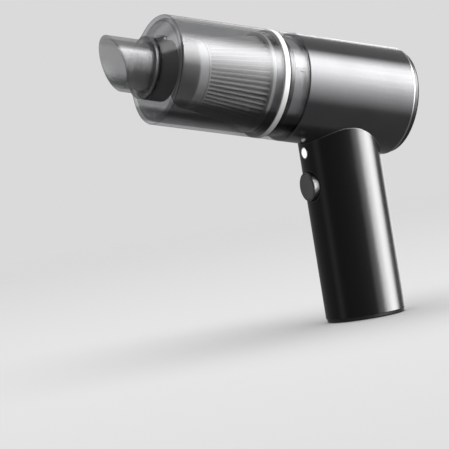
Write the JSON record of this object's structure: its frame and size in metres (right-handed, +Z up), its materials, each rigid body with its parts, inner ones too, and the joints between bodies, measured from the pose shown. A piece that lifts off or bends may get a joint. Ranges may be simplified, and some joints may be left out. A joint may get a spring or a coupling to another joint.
{
  "type": "handheld vacuum cleaner",
  "caption": "Pistol-shaped cordless handheld vacuum cleaner with a clear twist-off dust cup, pleated cone filter, slanted inlet tube, push button and lamp.",
  "frame": {"origin": "middle of the foot pad's underside, on the handle's axis", "axes": "+Z up the handle's axis; the nose points along -X and 15 degrees up; +Y is the cleaner's right-hand side seen from behind"},
  "size_m": [0.1962, 0.066, 0.201],
  "materials": {
    "graphite_shell": "satin metallic paint, dark grey",
    "clear_smoke": "smoked clear polycarbonate, polished",
    "white_seal": "smooth white elastomer",
    "filter_frame": "light grey moulded plastic",
    "filter_paper": "white pleated filter paper",
    "black_gloss": "piano black",
    "black_matte": "fine matt texture",
    "chrome_trim": "polished",
    "button_face": "satin",
    "rubber_black": "soft matt",
    "duct_grey": "satin grey",
    "inner_plastic": "matt",
    "steel": "bright zinc",
    "magnet": "dark ferrite",
    "copper_core": "iron core with copper windings",
    "brass": "plain",
    "cell_wrap": "shrink-wrapped cell",
    "board_green": "solder mask",
    "wire_red": "insulated wire",
    "lamp_clear": "frosted lens",
    "foam": "open-cell foam"
  },
  "bodies": {
    "housing": {"motor_housing": "graphite_shell", "intake_duct": "duct_grey", "duct_gasket": "rubber_black", "intake_guard": "inner_plastic", "fan_shroud": "inner_plastic", "motor_plate": "inner_plastic", "motor_can": "steel", "motor_magnets": "magnet", "motor_bushes": "brass", "motor_end_bell": "inner_plastic", "motor_terminals": "brass", "motor_cradle": "inner_plastic", "cradle_damper": "rubber_black", "motor_screws": "steel", "exhaust_foam": "foam", "rear_trim_ring": "chrome_trim", "rear_cover": "black_matte", "rear_screws": "steel", "handle_tube": "black_gloss", "handle_end_cap": "black_matte", "foot_pad": "rubber_black", "cap_screws": "steel", "battery_frame": "inner_plastic", "battery_cell_1": "cell_wrap", "battery_cell_2": "cell_wrap", "battery_cell_3": "cell_wrap", "cell_strips": "steel", "battery_leads": "wire_red", "frame_screws": "steel", "control_board": "board_green", "board_screws": "steel", "switch_body": "black_matte", "usb_socket": "steel", "led_lens": "lamp_clear", "led_bezel": "chrome_trim", "led_board": "board_green", "led_wires": "wire_red", "motor_wires": "wire_red", "button_bezel": "black_matte"},
    "collar": {"lock_collar": "clear_smoke", "seal_ring": "white_seal"},
    "cup": {"dust_cup": "clear_smoke", "inlet_tube": "clear_smoke", "inlet_sleeve": "rubber_black", "flap_pin": "steel"},
    "flap": {"inlet_flap": "rubber_black"},
    "filter": {"filter_base": "filter_frame", "filter_pleats": "filter_paper", "filter_cage": "filter_frame", "filter_cap": "filter_frame"},
    "fan": {"impeller": "duct_grey", "motor_shaft": "steel", "motor_armature": "copper_core"},
    "button": {"power_button": "button_face", "button_ring": "chrome_trim", "switch_plunger": "black_matte"}
  },
  "joints": [
    {"name": "collar_twist", "type": "hinge", "parent": "housing", "child": "collar", "pos_m": [0, 0, 0.1385], "axis": [-0.9659, 0, 0.2588], "range_deg": [0, 30]},
    {"name": "cup_pull", "type": "slide", "parent": "collar", "child": "cup", "axis": [-0.9659, 0, 0.2588], "range_m": [0, 0.075]},
    {"name": "filter_pull", "type": "slide", "parent": "collar", "child": "filter", "axis": [-0.9659, 0, 0.2588], "range_m": [0, 0.009]},
    {"name": "flap_swing", "type": "hinge", "parent": "cup", "child": "flap", "pos_m": [-0.10993, 0, 0.18628], "axis": [0, -1, 0], "range_deg": [0, 30], "stiffness_Nm_per_rad": 0.0005, "springref_deg": -20.05},
    {"name": "fan_spin", "type": "hinge", "parent": "housing", "child": "fan", "pos_m": [0, 0, 0.1385], "axis": [-0.9659, 0, 0.2588], "continuous": true},
    {"name": "button_press", "type": "slide", "parent": "housing", "child": "button", "axis": [1, 0, 0], "range_m": [0, 0.0012], "stiffness_N_per_m": 1500, "springref_m": -0.0005}
  ]
}
